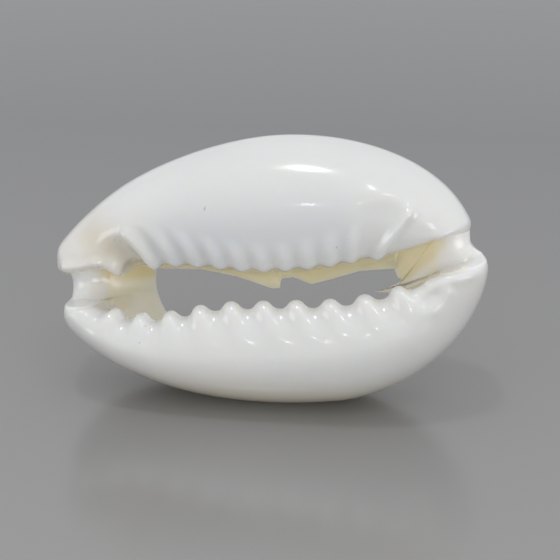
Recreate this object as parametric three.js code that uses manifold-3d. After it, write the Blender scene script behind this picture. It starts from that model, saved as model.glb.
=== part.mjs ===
// A small white money cowrie whose domed back has been cut away, standing on its lower side.
// Millimetres. +X runs to the narrow (exhalant) end, -Y is the mouth side, +Z is up.
// The origin is the middle of the bounding box, on the floor.
import * as THREE from 'three'
import { ParametricGeometry } from 'three/addons/geometries/ParametricGeometry.js'
import { mergeVertices } from 'three/addons/utils/BufferGeometryUtils.js'
import Module from 'manifold-3d'

// ---- Driving dimensions. Shell frame: x along the shell, wide canal at -x;
// y across, inner (columellar) lip at +y; z up out of the mouth, 0 on the cut back.
const END_X = { wide: -10.75, narrow: 11.6 }
const INNER_HALF = {
  widestX: 0.9, width: 6.3, wideTip: -11.1, narrowTip: 11.05, wideRound: 1.83, narrowRound: 1.9,
  wideBeakRounding: 0.2, narrowBeakRounding: 0.2,
}
const OUTER_HALF = {
  widestX: 3.2, width: 7.5, wideTip: -10.75, narrowTip: 11.6, wideRound: 2.0, narrowRound: 1.93,
  wideBeakRounding: 0.1, narrowBeakRounding: 0.12,
}
// The wide end is blunt: the outline bends into a straight line across at this x.
const BLUNT_END = { x: -10.28, softness: 0.09 }
const MOUTH = { wideEnd: -8.5, narrowEnd: 9.2 }
const INNER_LIP = [[-8.5, 0.62], [-7.6, 0.5], [-6.9, 0.08], [-6.2, 0.6], [-5, 0.6], [-3, 0.43], [0, -0.12],
  [3, -0.28], [6, -0.12], [8, 0.1], [9.2, 0.42]]
const OUTER_LIP = [[-8.5, -1.1], [-7.2, -1.9], [-5, -2.22], [-2, -2.02], [1, -2.22], [4, -2.42], [6.5, -2.25],
  [8, -1.85], [9.2, -1.4]]
const BROKEN_EDGE = [[-6.6, 0.35], [-3.1, -0.07], [-1.3, -0.62], [0.45, -1.43], [0.9, -1.46], [0.95, -0.98],
  [1.6, -0.96], [2.5, -1.42], [3.5, -1.27], [5.0, -1.0], [6.8, -1.06]]

// The canals: sines of the angles where a wall starts and where it has reached the lip, then sizes.
// `swayPower` keeps the sway to the ends of the outline.
const CANAL = {
  foot: 0.108, top: 0.13, wideFloor: 2.7, narrowFloor: 2.6, wideBowl: 0.35, narrowBowl: 0.1,
  wideStep: 0.4, narrowStep: 0, wideSlant: 0, narrowSlant: 0.12, edgeRounding: 0.3, outerHeight: 0.62,
  wideMouth: -10.2, narrowMouth: 10.63, wideSway: -0.08, narrowSway: -0.2, swayPower: 6,
}
// How far out from a canal the beaks' shapes reach, in sines over CANAL.top.
const FROM_CANAL = { corner: 1.7, throatFrom: 0.3, throatTo: 3, riseFrom: 1.3, riseTo: 4 }
// How far each canal's mouth bows outwards towards the beak beside it.
const INNER_BOW = { wide: 0.15, narrow: 0.05 }
const OUTER_BOW = { wide: 0.15, narrow: 0.5 }
const FACE = {
  top: 6.1, wideDrop: 1.2, narrowDrop: 1.6, droopPower: 3, lipDrop: 1.1, narrowLipDrop: 0.6,
  crestShare: 0.44, narrowCrestShare: 0.2,
}
// Cosines of the angles between which a thing changes from the shell's sides to its ends.
const TO_ENDS = { face: [0.6, 0.97], wideHollow: [0.66, 0.95], narrowHollow: [0.74, 0.95] }
const SIDE = { marginHeight: 2.4, wideBeakRise: 1.1, narrowBeakRise: 0.7, rimInset: 0.85, middleX: 0.5 }
const HOLLOW = {
  middleX: -0.3, middleY: -0.5, rimWide: { outer: 6.0, inner: 5.72 }, rimNarrow: { outer: 7.7, inner: 6.8 },
  rimHalf: 5.0, wallLong: 7.2, wallHalf: 5.35, wallHeight: 1.7,
  roofBelowFace: 2.35, roofInner: 2.4, roofOuter: 2.0, roofShorter: 0.97, innerBlend: 0.3,
}
// Where the hollow's lines lie at its two ends, as shares of the way from the lip to the rim.
const AT_ENDS = {
  sheetTop: { wide: 0.16, narrow: 0.75 }, sheetBack: { wide: 0.3, narrow: 0.75 },
  roof: { wide: 0.55, narrow: 0.85, narrowZ: 1.6 }, wall: { wide: 0.8, narrow: 0.93, narrowZ: 0.8 },
}
const SHEET = { height: 2.8, thickness: 0.32, undercut: 0.3, startSine: 0.05, fullSine: 0.3 }
const OUTER_LIP_BACK = { in: 0.25, fall: 2.0, backIn: 0.6, backFall: 2.3 }
// The shelf that closes the hollow at the narrow end, with a bite and a splinter in its broken edge.
const SHELF = { x: 6.8, widening: 0.1, innerY: -1.15, outerY: -2.15, span: 0.8, backStep: 0.12 }
const BITE = { at: 0.22, width: 0.12, depth: 0.3 }
const SPLINTER = { at: -0.25, width: 0.05, length: 1.15, spread: 1.6, reach: 0.12 }

const TOOTH = {
  firstX: -7.45, pitch: 1.46, pitchGrowth: 0.017, height: 0.44, flatness: 0.6, tipLength: 0.45,
  ribStart: 0.4, ribEnd: 2.3, ribShare: 0.2, fromX: -8, toX: 7.9, fadeIn: 0.5, fadeOut: 0.7, throatEnd: 0.45,
}
const RIDGE = {
  firstX: -4.95, pitch: 1.1, height: 0.17, lean: 0.075, leanReach: 3, shortest: 1.5, longer: 1.2,
  middleX: 1, halfSpan: 6, fromX: -6, toX: 5.6, fadeIn: 0.5, fadeOut: 0.6, fullShare: 0.3,
  throatStart: 0.05, throatEnd: 0.6,
}
const FOLD_THROAT_END = 0.6
// A raised curve where the face rolls over to the side near the narrow end; angles in degrees.
const SHOULDER = {
  x: 6.3, y: 0.3, radius: 2.6, width: 0.5, height: 0.19, startFrom: 10, startTo: 45, endFrom: 75, endTo: 110,
}
// Folds and hollows of the face: from, to, half width, height (a hollow has a height below zero).
const INNER_FOLDS = [
  { from: [-4.95, 0.5], to: [-6.15, 2.3], width: 0.27, height: 0.2 },
  { from: [6.15, -0.15], to: [7.95, 1.75], width: 0.23, height: 0.28 },
  { from: [8.9, 1.3], to: [9.0, 1.6], width: 0.4, height: 0.08 },
  { from: [-9.4, 1.0], to: [-7.9, 0.95], width: 0.26, height: 0.22 },
  { from: [-7.1, 1.7], to: [-6.1, 1.15], width: 0.9, height: -0.42 },
]
const OUTER_FOLDS = [
  { from: [8.6, -1.75], to: [10.6, -1.55], width: 0.3, height: 0.12 },
  { from: [8.4, -2.4], to: [8.8, -2.3], width: 0.36, height: -0.16 },
  { from: [8.7, -3.0], to: [9.4, -2.2], width: 0.3, height: 0.08 },
]

// How the shell stands: leaning back from upright, narrow end raised, a small worn spot on the floor.
const LEAN_BACK = THREE.MathUtils.degToRad(15)
const NARROW_END_UP = THREE.MathUtils.degToRad(9.1)
const REST_SPOT_DEPTH = 0.2

// ---- Mesh rows: over half a canal floor, up one canal wall, along one lip.
const FLOOR_ROWS = 3
const WALL_ROWS = 3
const LIP_ROWS = 82
const ROWS_AROUND = 2 * (LIP_ROWS + 2 * (FLOOR_ROWS + WALL_ROWS))
// Rows along each stretch of the wall's section. `atEnds` is the curve where the hollow closes at the ends,
// `inCanal` the curve on the canal floors, and `hold` how soon it gives way as the canal wall rises.
const STRETCHES = [
  { from: 'rimOuter', to: 'margin', rows: 2, curve: 'easeOut' },
  { from: 'margin', to: 'crest', rows: 5, curve: 'riseThenLevel' },
  { from: 'crest', to: 'lip', rows: 7, curve: 'levelThenFall', inCanal: 'slopeOff', hold: 1 },
  { from: 'lip', to: 'sheetTop', rows: 2, curve: 'riseThenLevel', atEnds: 'dropThenLevel',
    inCanal: 'straight', hold: 12 },
  { from: 'sheetTop', to: 'sheetBack', rows: 1, curve: 'straight' },
  { from: 'sheetBack', to: 'roof', rows: 3, curve: 'levelThenFall', atEnds: 'straight' },
  { from: 'roof', to: 'wall', rows: 3, curve: 'levelThenFall', atEnds: 'straight' },
  { from: 'wall', to: 'rimInner', rows: 2, curve: 'easeIn', atEnds: 'straight' },
  { from: 'rimInner', to: 'rimOuter', rows: 1, curve: 'straight' },
]
const ROWS_ACROSS = STRETCHES.reduce((sum, stretch) => sum + stretch.rows, 0)

const { clamp, degToRad, euclideanModulo, lerp, smoothstep } = THREE.MathUtils

/** A smooth bump of height 1 around a middle. */
function bump(x, middle, width) {
  return Math.exp(-(((x - middle) / width) ** 2))
}

/** Index and share of the stretch of [x, value] points that x lies in. */
function place(points, x) {
  const last = points.length - 1
  const at = clamp(x, points[0][0], points[last][0])
  let i = 0
  while (i < last - 1 && at >= points[i + 1][0]) i += 1
  return { i, t: (at - points[i][0]) / (points[i + 1][0] - points[i][0]) }
}

/** Smooth curve through [x, value] points, level beyond the ends. */
function through(points, x) {
  const { i, t } = place(points, x)
  const slope = (k) => {
    const before = points[Math.max(k - 1, 0)]
    const after = points[Math.min(k + 1, points.length - 1)]
    return (after[1] - before[1]) / (after[0] - before[0])
  }
  const gap = points[i + 1][0] - points[i][0]
  return points[i][1] * (2 * t ** 3 - 3 * t ** 2 + 1) + slope(i) * gap * (t ** 3 - 2 * t ** 2 + t) +
    points[i + 1][1] * (3 * t ** 2 - 2 * t ** 3) + slope(i + 1) * gap * (t ** 3 - t ** 2)
}

/** Straight lines through [x, value] points: the jagged edge of a break. */
function alongBreak(points, x) {
  const { i, t } = place(points, x)
  return lerp(points[i][1], points[i + 1][1], t)
}

/** Angle round the shell of one mesh row, from the narrow canal; the rows lie closer on the canal walls. */
function angleOfRow(row) {
  const half = ROWS_AROUND / 2
  const turns = Math.floor(row / half)
  const foot = Math.asin(CANAL.foot)
  const top = Math.asin(CANAL.top)
  const rows = [FLOOR_ROWS, WALL_ROWS, LIP_ROWS, WALL_ROWS, FLOOR_ROWS]
  const angles = [0, foot, top, Math.PI - top, Math.PI - foot, Math.PI]
  let within = row - turns * half
  let i = 0
  while (i < rows.length - 1 && within >= rows[i]) {
    within -= rows[i]
    i += 1
  }
  return turns * Math.PI + lerp(angles[i], angles[i + 1], within / rows[i])
}

/** One lengthwise half of the shell's outline, as a rounded oval of its own with a blunt wide end. */
function halfOutline(cos, sin, half) {
  const reach = cos < 0 ? half.widestX - half.wideTip : half.narrowTip - half.widestX
  const round = cos < 0 ? half.wideRound : half.narrowRound
  const x = half.widestX + reach * Math.sign(cos) * Math.abs(cos) ** (2 / round)
  const past = (x - BLUNT_END.x) / BLUNT_END.softness
  return {
    x: BLUNT_END.x + BLUNT_END.softness * (Math.max(past, 0) + Math.log1p(Math.exp(-Math.abs(past)))),
    y: half.width * Math.sign(sin) * Math.abs(sin) ** (2 / round),
  }
}

/** The outline at the widest level, rounded off at the beaks and notched at the canals. */
function marginAt(cos, sin, canal) {
  const { atEnd, corner, lift, onFloor } = canal
  const end = Math.sign(cos)
  const inner = halfOutline(cos, sin, INNER_HALF)
  const outer = halfOutline(cos, sin, OUTER_HALF)
  const own = sin > 0 ? { half: INNER_HALF, ...inner } : { half: OUTER_HALF, ...outer }
  const beakX = own.x - end * atEnd(own.half.wideBeakRounding, own.half.narrowBeakRounding) * corner
  const bow = sin > 0 ? INNER_BOW : OUTER_BOW
  const notchX = atEnd(CANAL.wideMouth, CANAL.narrowMouth) + end * atEnd(bow.wide, bow.narrow) * onFloor ** 2
  const slant = sin < 0 ? atEnd(CANAL.wideSlant, CANAL.narrowSlant) * onFloor : 0
  const outline = new THREE.Vector2(
    lerp(outer.x, inner.x, smoothstep(sin, -CANAL.top, CANAL.top)),
    own.y + atEnd(CANAL.wideSway, CANAL.narrowSway) * Math.abs(cos) ** CANAL.swayPower,
  )
  return { outline, x: lerp(notchX, beakX, lift), y: outline.y + slant * (1 - lift) }
}

/** The corner points of the wall's section at one angle round the shell. */
function sectionAt(angle) {
  const cos = Math.cos(angle)
  const sin = Math.sin(angle)
  const side = Math.sign(sin)
  const atWideEnd = cos < 0
  const atEnd = (wide, narrow) => (atWideEnd ? wide : narrow)

  // The canal between the beaks: 0 to 1 over its floor, then 0 to 1 up its wall.
  const fromTop = Math.abs(sin) / CANAL.top
  const lift = smoothstep(Math.abs(sin), CANAL.foot, CANAL.top)
  const onFloor = clamp(Math.abs(sin) / CANAL.foot, 0, 1)
  const bowl = atEnd(CANAL.wideBowl, CANAL.narrowBowl) * onFloor ** 2
  const corner = clamp((FROM_CANAL.corner - fromTop) / (FROM_CANAL.corner - 1), 0, 1) ** 2
  const margin = marginAt(cos, sin, { atEnd, corner, lift, onFloor })

  // Edge of the mouth.
  const lipX = lerp(MOUTH.wideEnd, MOUTH.narrowEnd, (1 + cos) / 2)
  const innerEdge = through(INNER_LIP, lipX)
  const outerEdge = through(OUTER_LIP, lipX)
  const underY = (innerEdge + outerEdge) / 2 + (innerEdge - outerEdge) / 2 * side * onFloor
  const lipY = lerp(underY, sin > 0 ? innerEdge : outerEdge, lift)

  // Heights: the face droops to both ends, the canals lie lower between the lips.
  const toNarrowEnd = smoothstep(cos, ...TO_ENDS.face)
  const faceZ = FACE.top - atEnd(FACE.wideDrop, FACE.narrowDrop) *
    Math.abs(lipX / atEnd(END_X.wide, END_X.narrow)) ** FACE.droopPower
  const floorZ = atEnd(CANAL.wideFloor, CANAL.narrowFloor)
  const floorEdgeZ = floorZ - atEnd(CANAL.wideStep, CANAL.narrowStep)
  const roundedZ = faceZ - CANAL.edgeRounding * corner
  const crestZ = lerp(floorZ + bowl, roundedZ, lift)
  const lipTopZ = roundedZ - lerp(FACE.lipDrop, FACE.narrowLipDrop, toNarrowEnd)
  const lipZ = lerp(floorEdgeZ + bowl, lipTopZ, lift)
  const underZ = lerp(floorEdgeZ, lipTopZ, smoothstep(fromTop, FROM_CANAL.throatFrom, FROM_CANAL.throatTo))
  const nearBeak = 1 - smoothstep(fromTop, FROM_CANAL.riseFrom, FROM_CANAL.riseTo)
  const beakZ = SIDE.marginHeight + atEnd(SIDE.wideBeakRise, SIDE.narrowBeakRise) * nearBeak
  const marginZ = lerp(floorZ * CANAL.outerHeight, beakZ, lift)
  const crestShare = lerp(FACE.crestShare, FACE.narrowCrestShare, toNarrowEnd)

  // The hollow inside: full depth along the sides, closing in a plain slope at the two ends.
  const sideShare = 1 - smoothstep(Math.abs(cos), ...atEnd(TO_ENDS.wideHollow, TO_ENDS.narrowHollow))
  const toInner = smoothstep(sin, -HOLLOW.innerBlend, HOLLOW.innerBlend)
  const rimReach = atEnd(HOLLOW.rimWide, HOLLOW.rimNarrow)
  const rimX = HOLLOW.middleX + lerp(rimReach.outer, rimReach.inner, toInner) * cos
  const rimY = HOLLOW.middleY + HOLLOW.rimHalf * sin
  const hollow = ({ wide, narrow, narrowZ }, x, y, z) => {
    const share = atEnd(wide, narrow)
    return new THREE.Vector3(
      lerp(lerp(lipX, rimX, share), x, sideShare),
      lerp(lerp(underY, rimY, share), y, sideShare),
      lerp(atEnd(underZ * (1 - share), narrowZ), z, sideShare),
    )
  }

  // The broken sheet, and the shelf it widens into at the narrow end.
  const sheetShare = smoothstep(sin, SHEET.startSine, SHEET.fullSine)
  const sheetX = Math.min(lipX, SHELF.x + SHELF.widening)
  const sheetY = alongBreak(BROKEN_EDGE, lipX)
  const shelfZ = floorEdgeZ + CANAL.narrowBowl
  const sheetTop = hollow({ ...AT_ENDS.sheetTop, narrowZ: shelfZ }, sheetX,
    lerp(lipY - OUTER_LIP_BACK.in, sheetY, sheetShare),
    lerp(faceZ - OUTER_LIP_BACK.fall, SHEET.height, sheetShare))
  const sheetBack = hollow({ ...AT_ENDS.sheetBack, narrowZ: shelfZ - SHEET.thickness }, sheetX,
    lerp(lipY - OUTER_LIP_BACK.backIn, sheetY + SHEET.undercut, sheetShare),
    lerp(faceZ - OUTER_LIP_BACK.backFall, SHEET.height - SHEET.thickness, sheetShare))
  const onShelf = atWideEnd ? 0 : 1 - sideShare
  const shelfX = SHELF.x + BITE.depth * bump(sin, BITE.at, BITE.width) -
    SPLINTER.length * bump(sin, SPLINTER.at, SPLINTER.width)
  const fan = sin < 0 ? SPLINTER.spread * lift * clamp(sin - SPLINTER.at, -SPLINTER.reach, SPLINTER.reach) : 0
  const shelfY = lerp(SHELF.innerY, SHELF.outerY, clamp(1 - (sin + CANAL.top) / SHELF.span, 0, 1)) + fan
  sheetTop.x = lerp(sheetTop.x, shelfX, onShelf)
  sheetTop.y = lerp(sheetTop.y, shelfY, onShelf)
  sheetBack.x = lerp(sheetBack.x, shelfX + SHELF.backStep, onShelf)
  sheetBack.y = lerp(sheetBack.y, shelfY + SHELF.backStep * side * onFloor, onShelf)

  const roofY = lipY + (sin > 0 ? HOLLOW.roofInner : -HOLLOW.roofOuter)
  const inset = new THREE.Vector2(margin.outline.x - SIDE.middleX, margin.outline.y).setLength(SIDE.rimInset)
  return {
    sideShare,
    lift,
    rimOuter: new THREE.Vector3(margin.outline.x - inset.x, margin.outline.y - inset.y, 0),
    margin: new THREE.Vector3(margin.x, margin.y, marginZ),
    crest: new THREE.Vector3(lerp(lipX, margin.x, crestShare), lerp(lipY, margin.y, crestShare), crestZ),
    lip: new THREE.Vector3(lipX, lipY, lipZ),
    sheetTop,
    sheetBack,
    roof: hollow(AT_ENDS.roof, lipX * HOLLOW.roofShorter, roofY,
      faceZ - HOLLOW.roofBelowFace),
    wall: hollow(AT_ENDS.wall, HOLLOW.middleX + HOLLOW.wallLong * cos,
      HOLLOW.middleY + HOLLOW.wallHalf * sin, HOLLOW.wallHeight),
    rimInner: new THREE.Vector3(rimX, rimY, 0),
  }
}

/** Shares of the way across and of the way up, along one stretch of the section. */
const CURVES = {
  straight: (t) => [t, t],
  easeOut: (t) => [2 * t - t * t, t],
  easeIn: (t) => [t * t, t],
  riseThenLevel: (t) => [1 - Math.cos(t * Math.PI / 2), Math.sin(t * Math.PI / 2)],
  levelThenFall: (t) => [Math.sin(t * Math.PI / 2), 1 - Math.cos(t * Math.PI / 2)],
  slopeOff: (t) => [t, t * t],
  dropThenLevel: (t) => [t * t, 1 - (1 - t) ** 8],
}

/** Smooth wall: the point `across` rows along the section; depth is 0 on the face, 1 beyond the throat. */
function wallPoint(row, across) {
  const angle = angleOfRow(row)
  const section = sectionAt(angle)
  let index = 0
  let within = euclideanModulo(across, ROWS_ACROSS)
  while (within >= STRETCHES[index].rows) {
    within -= STRETCHES[index].rows
    index += 1
  }
  const stretch = STRETCHES[index]
  const t = within / stretch.rows
  const [flat, rise] = CURVES[stretch.curve](t)
  const [endFlat, endRise] = CURVES[stretch.atEnds ?? stretch.curve](t)
  const from = section[stretch.from]
  const to = section[stretch.to]
  const [floorFlat, floorRise] = CURVES[stretch.inCanal ?? stretch.curve](t)
  const onCanal = stretch.inCanal ? (1 - section.lift) ** stretch.hold : 0
  const shareAcross = lerp(lerp(endFlat, flat, section.sideShare), floorFlat, onCanal)
  const shareUp = lerp(lerp(endRise, rise, section.sideShare), floorRise, onCanal)
  const point = new THREE.Vector3(
    lerp(from.x, to.x, shareAcross),
    lerp(from.y, to.y, shareAcross),
    lerp(from.z, to.z, shareUp),
  )
  const onFace = stretch.from === 'margin' || stretch.from === 'crest'
  const throat = stretch.from === 'lip' ? t : 1
  return { point, lip: section.lip, onInnerSide: Math.sin(angle) > 0, onFace, depth: onFace ? 0 : throat }
}

/** 1 on the line between two points of the face, falling away to the sides. */
function nearFold(point, fold) {
  const from = new THREE.Vector2(...fold.from)
  const run = new THREE.Vector2(...fold.to).sub(from)
  const offset = new THREE.Vector2(point.x, point.y).sub(from)
  const share = clamp(offset.dot(run) / run.lengthSq(), 0, 1)
  return bump(offset.addScaledVector(run, -share).length(), 0, fold.width)
}

/** Number of the tooth at x: whole numbers on the teeth, which lie further apart towards the narrow end. */
function toothNumber(x) {
  const room = TOOTH.pitch ** 2 + 4 * TOOTH.pitchGrowth * (x - TOOTH.firstX)
  return (Math.sqrt(room) - TOOTH.pitch) / (2 * TOOTH.pitchGrowth)
}

/** Even waves from 0 to 1; flatness squares their tops and valleys. */
function wave(turns, flatness) {
  const height = 0.5 + 0.5 * Math.cos(2 * Math.PI * turns)
  return lerp(height, smoothstep(height, 0, 1), flatness)
}

/** 1 where a row of teeth or ridges is present along the lip, fading out at its two ends. */
function present(x, row) {
  const begun = smoothstep(x, row.fromX, row.fromX + row.fadeIn)
  return begun * (1 - smoothstep(x, row.toX - row.fadeOut, row.toX))
}

function toothHeight({ lip, onFace, depth }, away) {
  const rib = 1 - smoothstep(away, TOOTH.ribStart, TOOTH.ribEnd)
  const onLip = lerp(bump(away, 0, TOOTH.tipLength), rib, TOOTH.ribShare)
  const fade = onFace ? onLip : 1 - smoothstep(depth, 0, TOOTH.throatEnd)
  return TOOTH.height * wave(toothNumber(lip.x), TOOTH.flatness) * fade * present(lip.x, TOOTH)
}

function ridgeHeight({ point, lip, onFace, depth }, away) {
  const length = RIDGE.shortest + RIDGE.longer * ((lip.x - RIDGE.middleX) / RIDGE.halfSpan) ** 2
  const lean = RIDGE.lean * (RIDGE.middleX - lip.x) * clamp(point.y - lip.y, 0, RIDGE.leanReach)
  const onLip = 1 - smoothstep(away, RIDGE.fullShare * length, length)
  const fade = onFace ? onLip : 1 - smoothstep(depth, RIDGE.throatStart, RIDGE.throatEnd)
  const turns = ((onFace ? point.x + lean : lip.x) - RIDGE.firstX) / RIDGE.pitch
  return RIDGE.height * wave(turns, 0) * fade * present(lip.x, RIDGE)
}

function shoulderHeight({ point, onFace }) {
  if (!onFace) return 0
  const offset = new THREE.Vector2(point.x - SHOULDER.x, point.y - SHOULDER.y)
  const bearing = Math.atan2(offset.y, offset.x)
  const { startFrom, startTo, endFrom, endTo } = SHOULDER
  return SHOULDER.height * bump(offset.length(), SHOULDER.radius, SHOULDER.width) *
    smoothstep(bearing, degToRad(startFrom), degToRad(startTo)) *
    (1 - smoothstep(bearing, degToRad(endFrom), degToRad(endTo)))
}

/** Height of the teeth, ridges, folds and hollows over the smooth wall. */
function reliefAt(here) {
  if (here.depth === 1) return 0
  const away = Math.hypot(here.point.x - here.lip.x, here.point.y - here.lip.y)
  const shown = 1 - smoothstep(here.depth, 0, FOLD_THROAT_END)
  const folds = here.onInnerSide ? INNER_FOLDS : OUTER_FOLDS
  const folded = folds.reduce((sum, fold) => sum + fold.height * nearFold(here.point, fold) * shown, 0)
  if (!here.onInnerSide) return folded + toothHeight(here, away)
  return folded + ridgeHeight(here, away) + shoulderHeight(here)
}

/** The finished wall surface: the smooth wall raised along its own outward direction. */
function shellSurface(around, along, target) {
  const row = around * ROWS_AROUND
  const across = along * ROWS_ACROSS
  const here = wallPoint(row, across)
  const height = reliefAt(here)
  target.copy(here.point)
  if (height === 0) return
  const step = 0.4
  const runAround = wallPoint(row + step, across).point.sub(wallPoint(row - step, across).point)
  const runAcross = wallPoint(row, across + step).point.sub(wallPoint(row, across - step).point)
  target.addScaledVector(runAround.cross(runAcross).normalize(), height)
}

// ---- Solids
const wasm = await Module()
wasm.setup()

function toSolid(geometry) {
  const plain = geometry.clone()
  plain.deleteAttribute('normal')
  plain.deleteAttribute('uv')
  const welded = mergeVertices(plain, 1e-5)
  return new wasm.Manifold(new wasm.Mesh({
    numProp: 3,
    vertProperties: new Float32Array(welded.attributes.position.array),
    triVerts: new Uint32Array(welded.index.array),
  }))
}

function toGeometry(solid) {
  const mesh = solid.getMesh()
  const geometry = new THREE.BufferGeometry()
  geometry.setAttribute('position', new THREE.BufferAttribute(mesh.vertProperties, 3))
  geometry.setIndex(new THREE.BufferAttribute(mesh.triVerts, 1))
  geometry.computeVertexNormals()
  return geometry
}

/** Stands the shell on its outer-lip side, mouth to -Y, leaning back, narrow end raised. */
function stand(geometry) {
  geometry.rotateX(Math.PI / 2)
  geometry.rotateX(-LEAN_BACK)
  geometry.rotateY(-NARROW_END_UP)
  geometry.computeBoundingBox()
  const { min, max } = geometry.boundingBox
  geometry.translate(-(min.x + max.x) / 2, -(min.y + max.y) / 2, -min.z - REST_SPOT_DEPTH)
  return geometry
}

function makeShell() {
  const wall = stand(new ParametricGeometry(shellSurface, ROWS_AROUND, ROWS_ACROSS))
  const wide = 40
  const deep = 10
  const underFloor = new THREE.BoxGeometry(wide, wide, deep).translate(0, 0, -deep / 2)
  return toGeometry(toSolid(wall).subtract(toSolid(underFloor)))
}

function porcelain() {
  return new THREE.MeshStandardMaterial({ color: 0xe9e8e2, roughness: 0.22, metalness: 0 })
}

const shell = new THREE.Mesh(makeShell(), porcelain())
shell.name = 'shell'

const cowrie = new THREE.Group()
cowrie.name = 'cowrie_shell'
cowrie.add(shell)

export default cowrie
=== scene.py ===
from math import asin, cos, pi, radians, sin

import bpy
import numpy as np
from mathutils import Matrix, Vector


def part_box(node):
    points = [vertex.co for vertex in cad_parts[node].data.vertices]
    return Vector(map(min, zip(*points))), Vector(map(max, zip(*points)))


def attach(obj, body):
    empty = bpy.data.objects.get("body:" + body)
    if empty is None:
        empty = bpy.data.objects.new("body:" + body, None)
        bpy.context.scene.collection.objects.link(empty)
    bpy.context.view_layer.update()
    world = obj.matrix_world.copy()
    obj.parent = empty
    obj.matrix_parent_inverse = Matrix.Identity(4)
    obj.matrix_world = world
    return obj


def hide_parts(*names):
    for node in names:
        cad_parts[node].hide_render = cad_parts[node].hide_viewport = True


# A small white money cowrie with its domed back cut away, standing on its outer-lip side.
# The fine wall is built in the shell's own frame in millimetres: x along the shell with the wide
# canal at -x, y across with the inner lip at +y, z up out of the mouth and 0 on the cut back.

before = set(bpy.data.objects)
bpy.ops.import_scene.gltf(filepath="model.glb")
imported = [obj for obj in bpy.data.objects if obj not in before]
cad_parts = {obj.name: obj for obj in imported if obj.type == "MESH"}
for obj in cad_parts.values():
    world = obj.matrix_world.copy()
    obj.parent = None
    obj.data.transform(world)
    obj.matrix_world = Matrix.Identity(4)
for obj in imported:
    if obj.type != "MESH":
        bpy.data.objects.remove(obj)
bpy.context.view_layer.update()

MM = 0.001

# ---- Driving dimensions. A pair holds the size at the wide end and the size at the narrow end.
INNER_HALF = dict(
    widest_x=0.9, width=6.3, tips=(-11.1, 11.05), rounds=(1.83, 1.9), beak_rounding=(0.2, 0.2),
)
OUTER_HALF = dict(
    widest_x=3.2, width=7.5, tips=(-10.75, 11.6), rounds=(2.0, 1.93), beak_rounding=(0.1, 0.12),
)
# The wide end is blunt: the outline bends into a straight line across at this x.
BLUNT_END = dict(x=-10.28, softness=0.09)
MOUTH_ENDS = (-8.5, 9.2)
INNER_LIP = [(-8.5, 0.62), (-7.6, 0.5), (-6.9, 0.08), (-6.2, 0.6), (-5, 0.6), (-3, 0.43), (0, -0.12),
             (3, -0.28), (6, -0.12), (8, 0.1), (9.2, 0.42)]
OUTER_LIP = [(-8.5, -1.1), (-7.2, -1.9), (-5, -2.22), (-2, -2.02), (1, -2.22), (4, -2.42), (6.5, -2.25),
             (8, -1.85), (9.2, -1.4)]
BROKEN_EDGE = [(-6.6, 0.35), (-3.1, -0.07), (-1.3, -0.62), (0.45, -1.43), (0.9, -1.46), (0.95, -0.98),
               (1.6, -0.96), (2.5, -1.42), (3.5, -1.27), (5.0, -1.0), (6.8, -1.06)]

# The canals: sines of the angles where a wall starts and where it has reached the lip, then sizes.
# The sway power keeps the sway to the ends of the outline.
CANAL = dict(
    foot=0.108, top=0.13, floor=(2.7, 2.6), bowl=(0.35, 0.1), step=(0.4, 0.0), slant=(0.0, 0.12),
    edge_rounding=0.3, outer_height=0.62, mouth_x=(-10.2, 10.63), sway=(-0.08, -0.2), sway_power=6,
)
# How far out from a canal the beaks' shapes reach, in sines over CANAL["top"].
FROM_CANAL = dict(corner=1.7, throat=(0.3, 3.0), rise=(1.3, 4))
# How far each canal's mouth bows outwards towards the beak beside it.
INNER_BOW = (0.15, 0.05)
OUTER_BOW = (0.15, 0.5)
FACE = dict(top=6.1, drop=(1.2, 1.6), droop_power=3, lip_drop=(1.1, 0.6), crest_share=(0.44, 0.2))
# Cosines of the angles between which a thing changes from the shell's sides to its ends.
TO_ENDS = dict(face=(0.6, 0.97), wide_hollow=(0.66, 0.95), narrow_hollow=(0.74, 0.95))
SIDE = dict(margin_height=2.4, beak_rise=(1.1, 0.7), rim_inset=0.85, middle_x=0.5)
HOLLOW = dict(
    middle_x=-0.3, middle_y=-0.5, outer_rim=(6.0, 7.7), inner_rim=(5.72, 6.8), rim_half=5.0,
    wall_long=7.2, wall_half=5.35, wall_height=1.7, roof_below_face=2.35, roof_inner=2.4, roof_outer=2.0,
    roof_shorter=0.97, inner_blend=0.3,
)
# Where the hollow's lines lie at its two ends, as shares of the way from the lip to the rim, and
# how high the plain ones lie at the narrow end.
END_SHARES = dict(sheet_top=(0.16, 0.75), sheet_back=(0.3, 0.75), roof=(0.55, 0.85), wall=(0.8, 0.93))
NARROW_END_HEIGHTS = dict(roof=1.6, wall=0.8)
SHEET = dict(height=2.8, thickness=0.32, undercut=0.3, sines=(0.05, 0.3))
OUTER_LIP_BACK = dict(inset=0.25, fall=2.0, back_inset=0.6, back_fall=2.3)
# The shelf that closes the hollow at the narrow end, with a bite and a splinter in its broken edge.
SHELF = dict(x=6.8, widening=0.1, inner_y=-1.15, outer_y=-2.15, span=0.8, back_step=0.12)
BITE = dict(at=0.22, width=0.12, depth=0.3)
SPLINTER = dict(at=-0.25, width=0.05, length=1.15, spread=1.6, reach=0.12)

# ---- Teeth, ridges and folds. `shown` is where along the lip a row fades in and out.
TOOTH = dict(
    first_x=-7.45, pitch=1.46, growth=0.017, height=0.44, flatness=0.6, tip_length=0.45,
    rib=(0.4, 2.3), rib_share=0.2, shown=(-8, -7.5, 7.2, 7.9), throat=(0, 0.45),
)
RIDGE = dict(
    first_x=-4.95, pitch=1.1, height=0.17, flatness=0.0, lean=0.075, lean_reach=3, shortest=1.5, longer=1.2,
    middle_x=1, half_span=6, full_share=0.3, shown=(-6, -5.5, 5, 5.6), throat=(0.05, 0.6),
)
FOLD_THROAT = (0, 0.6)
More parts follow.
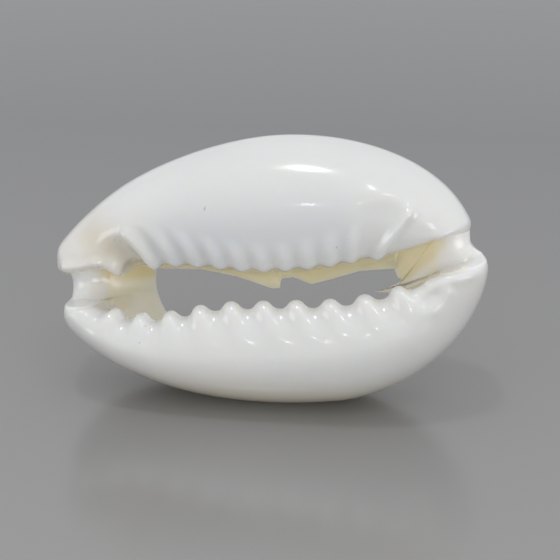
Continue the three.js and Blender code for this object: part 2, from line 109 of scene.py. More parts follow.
# A raised curve where the face rolls over to the side near the narrow end; bearings in degrees.
SHOULDER = dict(x=6.3, y=0.3, radius=2.6, width=0.5, height=0.19, begins=(10, 45), ends=(75, 110))
# Folds and hollows of the face: from, to, half width, height (a hollow has a height below zero).
INNER_FOLDS = [
    ((-4.95, 0.5), (-6.15, 2.3), 0.27, 0.2),
    ((6.15, -0.15), (7.95, 1.75), 0.23, 0.28),
    ((8.9, 1.3), (9.0, 1.6), 0.4, 0.08),
    ((-9.4, 1.0), (-7.9, 0.95), 0.26, 0.22),
    ((-7.4, 1.9), (-6.4, 1.4), 1.6, -0.26),
    ((-6.8, 1.3), (-6.1, 0.9), 0.7, -0.2),
]
OUTER_FOLDS = [
    ((8.6, -1.75), (10.6, -1.55), 0.30, 0.12),
    ((8.4, -2.4), (8.8, -2.3), 0.36, -0.16),
    ((8.7, -3.0), (9.4, -2.2), 0.3, 0.08),
]

# ---- Where the face is tinted and where shade is painted on it: from, to, half width.
# A beige tint in the hollow behind the wide end's rolled rim, deepened with painted shade of the hollow.
HOLLOW_TINT_AND_SHADE = ((-7.9, 2.3), (-6.5, 1.2), 1.05)
# Painted shade: a soft warm shadow over the wide end's beak around the hollow.
PAINTED_SHADE_BY_BEAK = ((-10.3, 2.4), (-8.0, 0.9), 1.3)
PAINTED_SHADE_BY_BEAK_STRENGTH = 0.4
# Painted shade: a cool grey band across the middle of the face, where it turns down towards the mouth.
PAINTED_SHADE_BAND = ((-3.5, 1.7), (4.2, 1.6), 1.5)
SPECKS = [(-1.87, 3.23), (-6.72, 2.14), (-5.65, -2.34), (-5.98, -3.12), (-8.54, -3.51), (4.37, 0.58)]
# The inside's colour deepens over this way in from the lip, and over these x in the canals.
THROAT_LENGTH = 2.0
CANAL_COLOUR_X = dict(wide=(-9.0, -7.9), narrow=(8.3, 10.2))
# Painted light: the canals are coloured brighter out to this many times the canal wall's top sine, to
# offset their shade.
CANAL_PAINTED_LIGHT_EDGE = 1.3
SEAM_BLEND = 0.05
# Within this many millimetres of the floor the white turns a darker cream: partly the shell's own colour,
# partly painted shade.
LOW_CREAM_AND_SHADE_HEIGHT = 3.0

# ---- How it stands
LEAN_BACK = radians(15)
NARROW_END_UP = radians(9.1)

# ---- Mesh rows round the shell: half a canal floor, one canal wall, one lip.
FLOOR_ROWS = 14
WALL_ROWS = 14
LIP_ROWS = 304
SHARP_EDGE = radians(50)
# The stretches of the wall's section: from, to, rows, curve.
STRETCHES = [
    ("rim_outer", "margin", 6, "ease_out"),
    ("margin", "crest", 26, "rise_then_level"),
    ("crest", "lip", 28, "level_then_fall"),
    ("lip", "sheet_top", 18, "rise_then_level"),
    ("sheet_top", "sheet_back", 4, "straight"),
    ("sheet_back", "roof", 14, "level_then_fall"),
    ("roof", "wall", 14, "level_then_fall"),
    ("wall", "rim_inner", 8, "ease_in"),
    ("rim_inner", "rim_outer", 6, "straight"),
]
# Curves that take over in the canals and at the ends of the hollow; the others run straight there.
END_CURVES = {"crest": "slope_off", "lip": "drop_then_level"}
DROP_POWER = 8
# How soon the straight floor of a canal gives way to the throat's curve as the canal's wall rises.
FLOOR_HOLD = 12


def ramp(x, start, end):
    t = np.clip((x - start) / (end - start), 0, 1)
    return t * t * (3 - 2 * t)


def lerp(a, b, t):
    return a + (b - a) * t


def bump(x, middle, width):
    """A smooth bump of height 1 around a middle."""
    return np.exp(-(((x - middle) / width) ** 2))


def through(points, x):
    """Smooth curve through (x, value) points, level beyond the ends."""
    px = np.array([p[0] for p in points], float)
    py = np.array([p[1] for p in points], float)
    slope = np.empty(len(px))
    slope[1:-1] = (py[2:] - py[:-2]) / (px[2:] - px[:-2])
    slope[0] = (py[1] - py[0]) / (px[1] - px[0])
    slope[-1] = (py[-1] - py[-2]) / (px[-1] - px[-2])
    x = np.clip(x, px[0], px[-1])
    i = np.clip(np.searchsorted(px, x, side="right") - 1, 0, len(px) - 2)
    gap = px[i + 1] - px[i]
    t = (x - px[i]) / gap
    return (py[i] * (2 * t**3 - 3 * t**2 + 1) + slope[i] * gap * (t**3 - 2 * t**2 + t)
            + py[i + 1] * (3 * t**2 - 2 * t**3) + slope[i + 1] * gap * (t**3 - t**2))


def along_break(points, x):
    """Straight lines through (x, value) points: the jagged edge of a break."""
    return np.interp(x, [p[0] for p in points], [p[1] for p in points])


def as_points(x, y, z):
    return np.stack([x, y, z + 0 * x], -1)


def angles_around():
    """Angles round the shell, with extra rows where the canal walls rise."""
    foot, top = asin(CANAL["foot"]), asin(CANAL["top"])
    half = np.concatenate([
        np.linspace(0, foot, FLOOR_ROWS, endpoint=False),
        np.linspace(foot, top, WALL_ROWS, endpoint=False),
        np.linspace(top, pi - top, LIP_ROWS, endpoint=False),
        np.linspace(pi - top, pi - foot, WALL_ROWS, endpoint=False),
        np.linspace(pi - foot, pi, FLOOR_ROWS, endpoint=False),
    ])
    return np.concatenate([half, half + pi])


class Ring:
    """The angles round the shell, with how far each one is into a canal and up its wall."""

    def __init__(self, angle):
        self.cos = np.cos(angle)
        self.sin = np.sin(angle)
        self.end = np.sign(self.cos)
        self.side = np.sign(self.sin)
        self.inner = self.sin > 0
        across = np.abs(self.sin)
        self.from_canal = across / CANAL["top"]
        self.lift = ramp(across, CANAL["foot"], CANAL["top"])
        self.on_floor = np.clip(across / CANAL["foot"], 0, 1)
        reach = FROM_CANAL["corner"]
        self.corner = np.clip((reach - self.from_canal) / (reach - 1), 0, 1) ** 2
        wide = ramp(-self.cos, *TO_ENDS["wide_hollow"])
        narrow = ramp(self.cos, *TO_ENDS["narrow_hollow"])
        self.side_share = 1 - self.at_end((wide, narrow))
        self.to_narrow_end = ramp(self.cos, *TO_ENDS["face"])

    def at_end(self, pair):
        return np.where(self.cos < 0, pair[0], pair[1])


def half_outline(ring, half):
    """One lengthwise half of the outline, as a rounded oval of its own with a blunt wide end."""
    reach = np.abs(ring.at_end(half["tips"]) - half["widest_x"])
    roundness = ring.at_end(half["rounds"])
    x = half["widest_x"] + reach * ring.end * np.abs(ring.cos) ** (2 / roundness)
    y = half["width"] * ring.side * np.abs(ring.sin) ** (2 / roundness)
    past = (x - BLUNT_END["x"]) / BLUNT_END["softness"]
    return BLUNT_END["x"] + BLUNT_END["softness"] * np.logaddexp(0, past), y


def side_lines(ring):
    """The outer rim, and the margin: the outline at its widest, notched at the canals."""
    inner_x, inner_y = half_outline(ring, INNER_HALF)
    outer_x, outer_y = half_outline(ring, OUTER_HALF)
    inner_beak_x = inner_x - ring.end * ring.at_end(INNER_HALF["beak_rounding"]) * ring.corner
    outer_beak_x = outer_x - ring.end * ring.at_end(OUTER_HALF["beak_rounding"]) * ring.corner
    beak_x = np.where(ring.inner, inner_beak_x, outer_beak_x)
    bow = np.where(ring.inner, ring.at_end(INNER_BOW), ring.at_end(OUTER_BOW))
    notch_x = ring.at_end(CANAL["mouth_x"]) + ring.end * bow * ring.on_floor**2
    slant = ring.at_end(CANAL["slant"]) * ring.on_floor * (ring.sin < 0)
    sway = ring.at_end(CANAL["sway"]) * np.abs(ring.cos) ** CANAL["sway_power"]
    x = lerp(outer_x, inner_x, ramp(ring.sin, -CANAL["top"], CANAL["top"]))
    y = np.where(ring.inner, inner_y, outer_y) + sway

    near_beak = 1 - ramp(ring.from_canal, *FROM_CANAL["rise"])
    beak_z = SIDE["margin_height"] + ring.at_end(SIDE["beak_rise"]) * near_beak
    margin_z = lerp(ring.at_end(CANAL["floor"]) * CANAL["outer_height"], beak_z, ring.lift)
    inward = SIDE["rim_inset"] / np.hypot(x - SIDE["middle_x"], y)
    rim_outer = as_points(x - (x - SIDE["middle_x"]) * inward, y * (1 - inward), 0)
    return rim_outer, as_points(lerp(notch_x, beak_x, ring.lift), y + slant * (1 - ring.lift), margin_z)


def mouth_edge(ring):
    """x of the lip, its y, and the y that the throat has under it."""
    x = lerp(*MOUTH_ENDS, (1 + ring.cos) / 2)
    inner_edge = through(INNER_LIP, x)
    outer_edge = through(OUTER_LIP, x)
    half_mouth = (inner_edge - outer_edge) / 2
    under_y = (inner_edge + outer_edge) / 2 + half_mouth * ring.side * ring.on_floor
    return x, lerp(under_y, np.where(ring.inner, inner_edge, outer_edge), ring.lift), under_y


def shelf_line(ring, line, back):
    """Draws a line of the sheet out into the shelf that closes the hollow at the narrow end."""
    on_shelf = (1 - ring.side_share) * (ring.cos > 0)
    bitten_x = SHELF["x"] + BITE["depth"] * bump(ring.sin, BITE["at"], BITE["width"])
    splinter = SPLINTER["length"] * bump(ring.sin, SPLINTER["at"], SPLINTER["width"])
    fan = np.clip(ring.sin - SPLINTER["at"], -SPLINTER["reach"], SPLINTER["reach"])
    to_outer = np.clip(1 - (ring.sin + CANAL["top"]) / SHELF["span"], 0, 1)
    y = lerp(SHELF["inner_y"], SHELF["outer_y"], to_outer)
    y = y + SPLINTER["spread"] * fan * ring.lift * (ring.sin < 0)
    line[:, 0] = lerp(line[:, 0], bitten_x - splinter + back, on_shelf)
    line[:, 1] = lerp(line[:, 1], y + back * ring.side * ring.on_floor, on_shelf)
    return line


def heights(ring, lip_x):
    """Heights along the ring: the face droops to both ends, the canals lie lower between the lips."""
    droop = np.abs(lip_x / ring.at_end(OUTER_HALF["tips"])) ** FACE["droop_power"]
    face_z = FACE["top"] - ring.at_end(FACE["drop"]) * droop
    rounded_z = face_z - CANAL["edge_rounding"] * ring.corner
    lip_top_z = rounded_z - lerp(*FACE["lip_drop"], ring.to_narrow_end)
    floor_z = ring.at_end(CANAL["floor"])
    edge_z = floor_z - ring.at_end(CANAL["step"])
    bowl = ring.at_end(CANAL["bowl"]) * ring.on_floor**2
    return dict(
        face=face_z,
        crest=lerp(floor_z + bowl, rounded_z, ring.lift),
        lip=lerp(edge_z + bowl, lip_top_z, ring.lift),
        floor_edge=edge_z,
        throat=lerp(edge_z, lip_top_z, ramp(ring.from_canal, *FROM_CANAL["throat"])),
    )


def hollow_lines(ring, lip_x, lip_y, under_y, z):
    """The sheet, roof, wall and inner rim of the hollow behind the lips."""
    to_inner = ramp(ring.sin, -HOLLOW["inner_blend"], HOLLOW["inner_blend"])
    rim_reach = lerp(ring.at_end(HOLLOW["outer_rim"]), ring.at_end(HOLLOW["inner_rim"]), to_inner)
    rim_x = HOLLOW["middle_x"] + rim_reach * ring.cos
    rim_y = HOLLOW["middle_y"] + HOLLOW["rim_half"] * ring.sin

    def line(name, narrow_z, side_x, side_y, side_z):
        """Its own place along the sides; at the ends, on the way from the lip to the rim."""
        share = ring.at_end(END_SHARES[name])
        end_z = ring.at_end((z["throat"] * (1 - share), narrow_z))
        return as_points(lerp(lerp(lip_x, rim_x, share), side_x, ring.side_share),
                         lerp(lerp(under_y, rim_y, share), side_y, ring.side_share),
                         lerp(end_z, side_z, ring.side_share))

    # The broken sheet behind the inner lip; behind the outer lip the same lines follow the lip.
    back = OUTER_LIP_BACK
    on_sheet = ramp(ring.sin, *SHEET["sines"])
    sheet_x = np.minimum(lip_x, SHELF["x"] + SHELF["widening"])
    sheet_y = along_break(BROKEN_EDGE, lip_x)
    shelf_z = z["floor_edge"] + CANAL["bowl"][1]
    sheet_top = line("sheet_top", shelf_z, sheet_x,
                     lerp(lip_y - back["inset"], sheet_y, on_sheet),
                     lerp(z["face"] - back["fall"], SHEET["height"], on_sheet))
    sheet_back = line("sheet_back", shelf_z - SHEET["thickness"], sheet_x,
                      lerp(lip_y - back["back_inset"], sheet_y + SHEET["undercut"], on_sheet),
                      lerp(z["face"] - back["back_fall"], SHEET["height"] - SHEET["thickness"], on_sheet))
    return dict(
        sheet_top=shelf_line(ring, sheet_top, 0.0),
        sheet_back=shelf_line(ring, sheet_back, SHELF["back_step"]),
        roof=line("roof", NARROW_END_HEIGHTS["roof"], lip_x * HOLLOW["roof_shorter"],
                  lip_y + np.where(ring.inner, HOLLOW["roof_inner"], -HOLLOW["roof_outer"]),
                  z["face"] - HOLLOW["roof_below_face"]),
        wall=line("wall", NARROW_END_HEIGHTS["wall"],
                  HOLLOW["middle_x"] + HOLLOW["wall_long"] * ring.cos,
                  HOLLOW["middle_y"] + HOLLOW["wall_half"] * ring.sin, HOLLOW["wall_height"]),
        rim_inner=as_points(rim_x, rim_y, 0),
    )


def sections(ring):
    """Corner lines of the wall's section, each an array of points round the shell."""
    rim_outer, margin = side_lines(ring)
    lip_x, lip_y, under_y = mouth_edge(ring)
    z = heights(ring, lip_x)
    crest_share = lerp(*FACE["crest_share"], ring.to_narrow_end)
    crest_x = lerp(lip_x, margin[:, 0], crest_share)
    crest_y = lerp(lip_y, margin[:, 1], crest_share)
    return dict(
        rim_outer=rim_outer,
        margin=margin,
        crest=as_points(crest_x, crest_y, z["crest"]),
        lip=as_points(lip_x, lip_y, z["lip"]),
        **hollow_lines(ring, lip_x, lip_y, under_y, z),
    )


def curve(kind, t):
    """Shares of the way across and of the way up along one stretch of the section."""
    if kind == "ease_out":
        return 2 * t - t * t, t
    if kind == "ease_in":
        return t * t, t
    if kind == "rise_then_level":
        return 1 - np.cos(t * pi / 2), np.sin(t * pi / 2)
    if kind == "level_then_fall":
        return np.sin(t * pi / 2), 1 - np.cos(t * pi / 2)
    if kind == "slope_off":
        return t, t * t
    if kind == "drop_then_level":
        return t * t, 1 - (1 - t) ** DROP_POWER
    return t, t


def rows_before(name):
    """Number of mesh rows across the section before the stretch that starts at a named line."""
    starts = [start for start, _end, _rows, _kind in STRETCHES]
    return sum(rows for _start, _end, rows, _kind in STRETCHES[:starts.index(name)])


def stretch_shares(ring, start, rows, kind):
    """Shares across and up for one stretch, which changes its curve in the canals and at the ends."""
    t = np.arange(rows)[None, :] / rows
    lift = ring.lift[:, None]
    flat, rise = curve(kind, t)
    end_flat, end_rise = curve(END_CURVES.get(start, "straight"), t)
    if start == "lip":
        off_floor = 1 - (1 - lift) ** FLOOR_HOLD
        end_flat = lerp(t, end_flat, off_floor)
        end_rise = lerp(t, end_rise, off_floor)
    bend = 1.0
    if start == "crest":
        bend = lift
    if rows_before(start) >= rows_before("lip"):
        bend = ring.side_share[:, None]
    return lerp(end_flat, flat, bend)[..., None], lerp(end_rise, rise, bend)[..., None]


def smooth_wall(ring, lines):
    """The wall without its teeth, as a grid of points: rows around by rows across."""
    parts = []
    for start, end, rows, kind in STRETCHES:
        flat, rise = stretch_shares(ring, start, rows, kind)
        a, b = lines[start][:, None, :], lines[end][:, None, :]
        across = lerp(a[..., :2], b[..., :2], flat)
        up = lerp(a[..., 2:], b[..., 2:], rise)
        parts.append(np.concatenate([across, up], -1))
    return np.concatenate(parts, 1)


def near_fold(x, y, start, end, width):
    """1 on the line between two points of the face, falling away to the sides."""
    run = np.subtract(end, start)
    share = np.clip(((x - start[0]) * run[0] + (y - start[1]) * run[1]) / (run @ run), 0, 1)
    off = (x - start[0] - share * run[0]) ** 2 + (y - start[1] - share * run[1]) ** 2
    return np.exp(-off / width**2)


def tooth_number(x):
    """Whole numbers on the outer lip's teeth, which lie further apart towards the narrow end."""
    room = TOOTH["pitch"] ** 2 + 4 * TOOTH["growth"] * (x - TOOTH["first_x"])
    return (np.sqrt(room) - TOOTH["pitch"]) / (2 * TOOTH["growth"])


def wave(turns, flatness):
    """Even waves from 0 to 1; flatness squares their tops and valleys."""
    height = 0.5 + 0.5 * np.cos(2 * pi * turns)
    return lerp(height, ramp(height, 0, 1), flatness)


def shown_along(x, places):
    """1 where a row of teeth or ridges is present along the lip, fading out at its two ends."""
    return ramp(x, *places[:2]) * (1 - ramp(x, *places[2:]))


def tooth_height(here):
    tip = bump(here["away"], 0, TOOTH["tip_length"])
    rib = 1 - ramp(here["away"], *TOOTH["rib"])
    in_throat = 1 - ramp(here["depth"], *TOOTH["throat"])
    fade = np.where(here["on_face"], lerp(tip, rib, TOOTH["rib_share"]), in_throat)
    waves = wave(tooth_number(here["lip_x"]), TOOTH["flatness"])
    return TOOTH["height"] * waves * fade * shown_along(here["lip_x"], TOOTH["shown"])


def ridge_height(here):
    lip_x, middle_x = here["lip_x"], RIDGE["middle_x"]
    length = RIDGE["shortest"] + RIDGE["longer"] * ((lip_x - middle_x) / RIDGE["half_span"]) ** 2
    on_lip = 1 - ramp(here["away"], RIDGE["full_share"] * length, length)
    fade = np.where(here["on_face"], on_lip, 1 - ramp(here["depth"], *RIDGE["throat"]))
    lean = RIDGE["lean"] * (middle_x - lip_x) * np.clip(here["y"] - here["lip_y"], 0, RIDGE["lean_reach"])
    turns = (np.where(here["on_face"], here["x"] + lean, lip_x) - RIDGE["first_x"]) / RIDGE["pitch"]
    return RIDGE["height"] * wave(turns, RIDGE["flatness"]) * fade * shown_along(lip_x, RIDGE["shown"])


def shoulder_height(here):
    off_x, off_y = here["x"] - SHOULDER["x"], here["y"] - SHOULDER["y"]
    ring = bump(np.hypot(off_x, off_y), SHOULDER["radius"], SHOULDER["width"])
    bearing = np.arctan2(off_y, off_x)
    begun = ramp(bearing, *np.radians(SHOULDER["begins"]))
    ended = ramp(bearing, *np.radians(SHOULDER["ends"]))
    return SHOULDER["height"] * ring * begun * (1 - ended) * here["on_face"]


def fold_height(here, folds):
    shown = 1 - ramp(here["depth"], *FOLD_THROAT)
    return sum(size * near_fold(here["x"], here["y"], start, end, width) * shown
               for start, end, width, size in folds)


def relief(grid, ring, lines):
    """Height of the teeth, ridges, folds and hollows over the smooth wall."""
    row = np.arange(grid.shape[1])[None, :]
    margin_row, lip_row, throat_end = rows_before("margin"), rows_before("lip"), rows_before("sheet_top")
    depth = np.clip((row - lip_row) / (throat_end - lip_row), 0, 1)
    x, y = grid[..., 0], grid[..., 1]
    lip_x, lip_y = lines["lip"][:, 0][:, None], lines["lip"][:, 1][:, None]
    here = dict(
        x=x, y=y, lip_x=lip_x, lip_y=lip_y,
        away=np.hypot(x - lip_x, y - lip_y),
        on_face=(row >= margin_row) & (row <= lip_row),
        depth=np.where(row < margin_row, 1, depth),
    )
    outer = tooth_height(here) + fold_height(here, OUTER_FOLDS)
    inner = ridge_height(here) + shoulder_height(here) + fold_height(here, INNER_FOLDS)
    across = ring.sin[:, None]
    return outer * (across < 0) + inner * (across > 0)


def outward(grid):
    around = np.roll(grid, -1, 0) - np.roll(grid, 1, 0)
    across = np.roll(grid, -1, 1) - np.roll(grid, 1, 1)
    normal = np.cross(around, across)
    return normal / (np.linalg.norm(normal, axis=-1, keepdims=True) + 1e-9)


def stand(points):
    """Shell frame to the part's frame: stands it up, leans it back and raises the narrow end."""
    x, y, z = points[..., 0], -points[..., 2], points[..., 1]
    back = y * cos(LEAN_BACK) + z * sin(LEAN_BACK)
    high = -y * sin(LEAN_BACK) + z * cos(LEAN_BACK)
    across = x * cos(NARROW_END_UP) - high * sin(NARROW_END_UP)
    up = x * sin(NARROW_END_UP) + high * cos(NARROW_END_UP)
    return np.stack([across, back, up], -1)


def into_box(points, box):
    """Puts the standing shell where the CAD shell is, and flattens what would pass the floor."""
    low, high = np.array(box[0]), np.array(box[1])
    own_low = points.reshape(-1, 3).min(0)
    own_high = points.reshape(-1, 3).max(0)
    shift = (low + high - own_low - own_high) / 2
    shift[2] = high[2] - own_high[2]
    placed = points + shift
    placed[..., 2] = np.maximum(placed[..., 2], low[2])
    return placed


def speck_marks(grid):
    """1 on the face's nearest place to each speck, 0 elsewhere."""
    marks = np.zeros(grid.shape[:2])
    face = grid[:, rows_before("margin"):rows_before("lip")]
    for x, y in SPECKS:
        off = np.hypot(face[..., 0] - x, face[..., 1] - y)
        around, across = np.unravel_index(off.argmin(), off.shape)
        marks[around, across + rows_before("margin")] = 1
    return marks


def throat_share(grid, ring, lines):
    """0 outside, rising to 1 where the inside has its full colour."""
    row = np.arange(grid.shape[1])[None, :]
    from_lip = np.linalg.norm(grid - lines["lip"][:, None, :], axis=-1)
    inside = np.clip(from_lip / THROAT_LENGTH, 0, 1) * (row > rows_before("lip"))
    x = grid[..., 0]
    along_canal = ramp(x, *CANAL_COLOUR_X["wide"]) * (1 - ramp(x, *CANAL_COLOUR_X["narrow"]))
    in_canal = along_canal * (1 - ring.lift[:, None]) * (row > rows_before("crest"))
    return np.maximum(inside, in_canal)


def paint_layers(grid, placed, ring, lines):
    """Shares from 0 to 1 that tell the porcelain where each of its colours lies, painted light and shade
    among them.
    """
    row = np.arange(grid.shape[1])[None, :] + 0 * grid[..., 0]
    across = ring.sin[:, None] + 0 * row
    face = (grid[..., 0], grid[..., 1])
    inner = across > 0
    throat = throat_share(grid, ring, lines)
    painted_light_in_canal = 1 - ramp(np.abs(across), CANAL["top"], CANAL_PAINTED_LIGHT_EDGE * CANAL["top"])
    return dict(
        throat=throat,
        rim=row >= rows_before("rim_inner"),
        # Painted light: the canals' floors and flanks are made brighter to offset their shade.
        canal=painted_light_in_canal * (row >= rows_before("margin")),
        inner_side=ramp(across, -SEAM_BLEND, SEAM_BLEND),
        # The hollow's beige tint with its painted shade, and a weaker painted shadow over the beak beside
        # it.
        hollow_tint_and_shade=np.maximum(near_fold(*face, *HOLLOW_TINT_AND_SHADE), PAINTED_SHADE_BY_BEAK_STRENGTH * near_fold(*face, *PAINTED_SHADE_BY_BEAK)) * inner,
        # Painted shade across the middle of the face.
        grey=near_fold(*face, *PAINTED_SHADE_BAND) * inner * (1 - throat),
        # Darker cream near the floor, partly painted shade.
        low_cream_and_shade=1 - ramp(placed[..., 2], 0, LOW_CREAM_AND_SHADE_HEIGHT * MM),
        speck=speck_marks(grid),
    )


def ring_quads(around, across):
    """Faces of a grid of points that closes on itself both ways."""
    i, j = np.meshgrid(np.arange(around), np.arange(across), indexing="ij")
    next_i, next_j = (i + 1) % around, (j + 1) % across
    corners = [i * across + j, next_i * across + j, next_i * across + next_j, i * across + next_j]
    return np.stack(corners, -1).reshape(-1, 4)


def make_shell():
    ring = Ring(angles_around())
    lines = sections(ring)
    plain = smooth_wall(ring, lines)
    grid = plain + outward(plain) * relief(plain, ring, lines)[..., None]
    placed = into_box(stand(grid) * MM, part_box("shell"))

    mesh = bpy.data.meshes.new("shell_wall")
    mesh.from_pydata(placed.reshape(-1, 3).tolist(), [], ring_quads(*grid.shape[:2]).tolist())
    mesh.shade_smooth()
    mesh.set_sharp_from_angle(angle=SHARP_EDGE)
    for name, values in paint_layers(grid, placed, ring, lines).items():
        layer = mesh.attributes.new(name, "FLOAT", "POINT")
        layer.data.foreach_set("value", np.ascontiguousarray(values, dtype=np.float32).ravel())
    shell = bpy.data.objects.new("shell_wall", mesh)
    bpy.context.scene.collection.objects.link(shell)
    return shell


# ---- Materials. Colours are linear red, green, blue; a pair is mottled by noise.
WHITE = ((0.80, 0.80, 0.785), (0.76, 0.765, 0.76))
# The inside is the shell's yellow: its deeper ochre behind the inner lip is partly painted shade, and its
# paler cream behind the outer lip is painted light.
OCHRE = ((0.90, 0.82, 0.59), (0.82, 0.71, 0.43))
PAINTED_LIGHT_CREAM = ((0.97, 0.93, 0.82), (0.93, 0.87, 0.70))
CHALK = ((0.78, 0.76, 0.70), (0.71, 0.68, 0.61))
# Tints of the outside, each laid over the ones before it where the layer of its name says; some of them are
# painted light and shade.
TINTS = {
    # Painted shade: the cool grey of the middle of the face.
    "grey": (0.73, 0.745, 0.76),
    # The hollow's beige tint, partly painted shade.
    "hollow_tint_and_shade": (0.74, 0.695, 0.60),
    # Painted light: a brighter white in the canals, against their shade.
    "canal": (0.93, 0.92, 0.90),
    # Darker cream near the floor, partly the shell's colour and partly painted shade.
    "low_cream_and_shade": (0.79, 0.725, 0.58),
}
SPECK_COLOUR = (0.42, 0.40, 0.38)
# Throat share at which the inside's colour starts, behind the outer and the inner lip, and is full.
THROAT_START = (0.55, 0.15)
THROAT_FULL = 0.85
# Noises: scale, detail, roughness. The spreads are the noise values that count as 0 and as 1.
CLOUDS = (180, 4, 0.55)
PATCHES = (260, 3, 0.5)
CHALK_GRAIN = (900, 4, 0.5)
GLAZE_GRAIN = (700, 3, 0.5)
RIPPLE_GRAIN = (500, 4, 0.5)
CLOUD_SPREAD = (0.35, 0.7)
NOISE_SPREAD = (0.3, 0.7)
SPECK_SPREAD = (0.3, 1)
GLAZE = {
    "IOR": 1.53,
    "Subsurface Weight": 0.55,
    "Subsurface Radius": (1.0, 0.8, 0.55),
    "Subsurface Scale": 0.0012,
    "Coat Weight": 0.5,
    "Coat Roughness": 0.06,
}
GLAZE_ROUGHNESS = (0.14, 0.22)
RIPPLE = {"Strength": 0.12, "Distance": 0.00008}
# The floor is mid-grey and darkens from its near to its far colour over these y, in metres: painted light,
# brighter in front of the shell and darker behind it.
FLOOR_PAINTED_FALLOFF = (-0.02, 0.045)
FLOOR_NEAR = (0.31, 0.305, 0.30)
FLOOR_FAR = (0.145, 0.143, 0.145)
FLOOR_FINISH = {"Roughness": 0.2, "IOR": 1.7}


def node(tree, kind, **settings):
    made = tree.nodes.new(kind)
    for name, value in settings.items():
        setattr(made, name, value)
    return made


def feed(tree, socket, value):
    """Links an output to a socket, or sets the socket's own value."""
    if hasattr(value, "is_output"):
        tree.links.new(value, socket)
    elif isinstance(value, tuple) and len(value) < len(socket.default_value):
        socket.default_value = (*value, 1)
    else:
        socket.default_value = value


def new_material(name, finish):
    material = bpy.data.materials.new(name)
    material.use_nodes = True
    tree = material.node_tree
    shader = tree.nodes["Principled BSDF"]
    for socket, value in finish.items():
        feed(tree, shader.inputs[socket], value)
    return material, tree, shader


def mix_colours(tree, share, a, b):
    mix = node(tree, "ShaderNodeMix", data_type="RGBA")
    # Sockets 0, 6 and 7 are the share and the two colours.
    for index, value in ((0, share), (6, a), (7, b)):
        feed(tree, mix.inputs[index], value)
    return mix.outputs[2]


def remap(tree, value, low, high, to_low=0.0, to_high=1.0):
    fit = node(tree, "ShaderNodeMapRange")
    for socket, number in zip(fit.inputs, (value, low, high, to_low, to_high)):
        feed(tree, socket, number)
    return fit.outputs[0]


def attribute(tree, name):
    return node(tree, "ShaderNodeAttribute", attribute_name=name).outputs["Fac"]


def noise(tree, scale, detail, roughness):
    made = node(tree, "ShaderNodeTexNoise")
    feed(tree, made.inputs["Vector"], node(tree, "ShaderNodeTexCoord").outputs["Object"])
    feed(tree, made.inputs["Scale"], scale)
    feed(tree, made.inputs["Detail"], detail)
    feed(tree, made.inputs["Roughness"], roughness)
    return made.outputs["Fac"]


def outside_colour(tree):
    """White, with a beige tint and painted shade in the wide end's hollow, painted shade mid-face, painted
    light in the canals and a darker cream, partly painted shade, near the floor.
    """
    colour = mix_colours(tree, remap(tree, noise(tree, *CLOUDS), *CLOUD_SPREAD), *WHITE)
    for name, tint in TINTS.items():
        colour = mix_colours(tree, attribute(tree, name), colour, tint)
    return colour


def inside_colour(tree):
    """Mottled ochre behind the inner lip, partly painted shade, and paler cream behind the outer lip,
    painted light.
    """
    patches = remap(tree, noise(tree, *PATCHES), *NOISE_SPREAD)
    ochre = mix_colours(tree, patches, *OCHRE)
    cream = mix_colours(tree, patches, *PAINTED_LIGHT_CREAM)
    return mix_colours(tree, attribute(tree, "inner_side"), cream, ochre)


def porcelain():
    material, tree, shader = new_material("cowrie_porcelain", GLAZE)
    start = remap(tree, attribute(tree, "inner_side"), 0, 1, *THROAT_START)
    in_throat = remap(tree, attribute(tree, "throat"), start, THROAT_FULL)
    colour = mix_colours(tree, in_throat, outside_colour(tree), inside_colour(tree))
    colour = mix_colours(tree, remap(tree, attribute(tree, "speck"), *SPECK_SPREAD), colour, SPECK_COLOUR)
    chalk = mix_colours(tree, remap(tree, noise(tree, *CHALK_GRAIN), *NOISE_SPREAD), *CHALK)
    feed(tree, shader.inputs["Base Color"], mix_colours(tree, attribute(tree, "rim"), colour, chalk))

    roughness = remap(tree, noise(tree, *GLAZE_GRAIN), *NOISE_SPREAD, *GLAZE_ROUGHNESS)
    feed(tree, shader.inputs["Roughness"], roughness)
    ripple = node(tree, "ShaderNodeBump")
    for socket, value in RIPPLE.items():
        feed(tree, ripple.inputs[socket], value)
    feed(tree, ripple.inputs["Height"], noise(tree, *RIPPLE_GRAIN))
    feed(tree, shader.inputs["Normal"], ripple.outputs["Normal"])
    return material


def floor_material():
    material, tree, shader = new_material("grey_floor", FLOOR_FINISH)
    place = node(tree, "ShaderNodeSeparateXYZ")
    feed(tree, place.inputs[0], node(tree, "ShaderNodeTexCoord").outputs["Object"])
    # Painted light: lighter in front of the shell, darker behind it.
    fade = remap(tree, place.outputs["Y"], *FLOOR_PAINTED_FALLOFF)
    feed(tree, shader.inputs["Base Color"], mix_colours(tree, fade, FLOOR_NEAR, FLOOR_FAR))
    return material


# ---- Studio, in metres. Azimuth 0 is straight out of the mouth; angles are in degrees.
FLOOR_REACH = 1.2
LAMP_DISTANCE = 0.35
LAMP_AIM = (0, 0, 0.007)
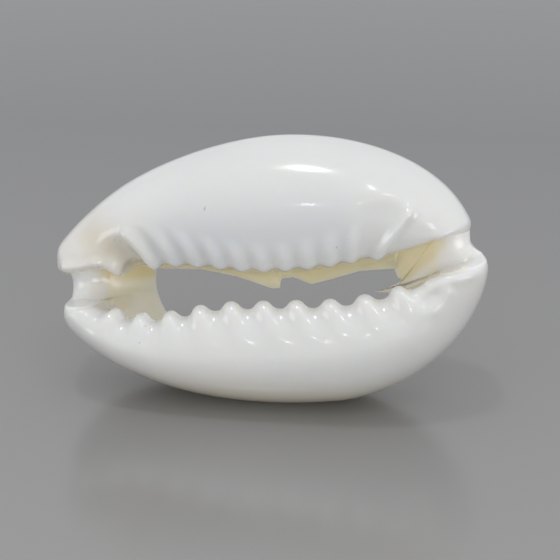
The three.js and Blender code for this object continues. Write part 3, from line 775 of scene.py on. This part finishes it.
# name, azimuth, elevation, size, watts, colour
LAMPS = [
    ("overhead", -50, 81, (0.045, 0.034), 0.15, (0.97, 0.99, 1.0)),
    ("right_softbox", 35, 58, (0.09, 0.02), 0.045, (1, 1, 1)),
    ("front_strip", -8, 22, (0.012, 0.02), 0.008, (1, 1, 1)),
    ("left_fill", -58, 6, (0.25, 0.14), 0.21, (1, 0.99, 0.97)),
    ("right_fill", 54, 8, (0.25, 0.14), 0.31, (1, 0.99, 0.97)),
]
SKY = (0.71, 0.72, 0.735)
CAMERA = dict(azimuth=7, elevation=22, distance=0.086)
LENS = dict(sensor_width=36, lens=108.8, clip_start=0.001, shift_x=0.0172, shift_y=-0.0195)


def make_floor():
    mesh = bpy.data.meshes.new("floor")
    corners = [(x * FLOOR_REACH, y * FLOOR_REACH, 0) for x, y in ((-1, -1), (1, -1), (1, 1), (-1, 1))]
    mesh.from_pydata(corners, [], [(0, 1, 2, 3)])
    floor = bpy.data.objects.new("floor", mesh)
    bpy.context.scene.collection.objects.link(floor)
    floor.data.materials.append(floor_material())


def direction(azimuth, elevation):
    """Unit vector towards a place seen from the shell."""
    turn, rise = radians(azimuth), radians(elevation)
    return Vector((sin(turn) * cos(rise), -cos(turn) * cos(rise), sin(rise)))


def area_light(name, place, aim, size, power, colour):
    light = bpy.data.lights.new(name, "AREA")
    light.shape = "RECTANGLE"
    light.size, light.size_y = size
    light.energy = power
    light.color = colour
    lamp = bpy.data.objects.new(name, light)
    lamp.location = place
    lamp.rotation_euler = (aim - place).to_track_quat("-Z", "Y").to_euler()
    bpy.context.scene.collection.objects.link(lamp)


def make_lights():
    aim = Vector(LAMP_AIM)
    for name, azimuth, elevation, size, watts, colour in LAMPS:
        area_light(name, aim + direction(azimuth, elevation) * LAMP_DISTANCE, aim, size, watts, colour)
    world = bpy.data.worlds.new("studio")
    world.use_nodes = True
    world.node_tree.nodes["Background"].inputs["Color"].default_value = (*SKY, 1)
    bpy.context.scene.world = world


def make_camera(box):
    lens = bpy.data.cameras.new("camera")
    for name, value in LENS.items():
        setattr(lens, name, value)
    back = direction(CAMERA["azimuth"], CAMERA["elevation"])
    camera = bpy.data.objects.new("camera", lens)
    camera.location = (Vector(box[0]) + Vector(box[1])) / 2 + back * CAMERA["distance"]
    camera.rotation_euler = back.to_track_quat("Z", "Y").to_euler()
    bpy.context.scene.collection.objects.link(camera)
    bpy.context.scene.camera = camera


make_camera(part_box("shell"))
shell = make_shell()
shell.data.materials.append(porcelain())
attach(shell, "root")
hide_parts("shell")
make_floor()
make_lights()
bpy.context.scene.view_settings.view_transform = "Standard"
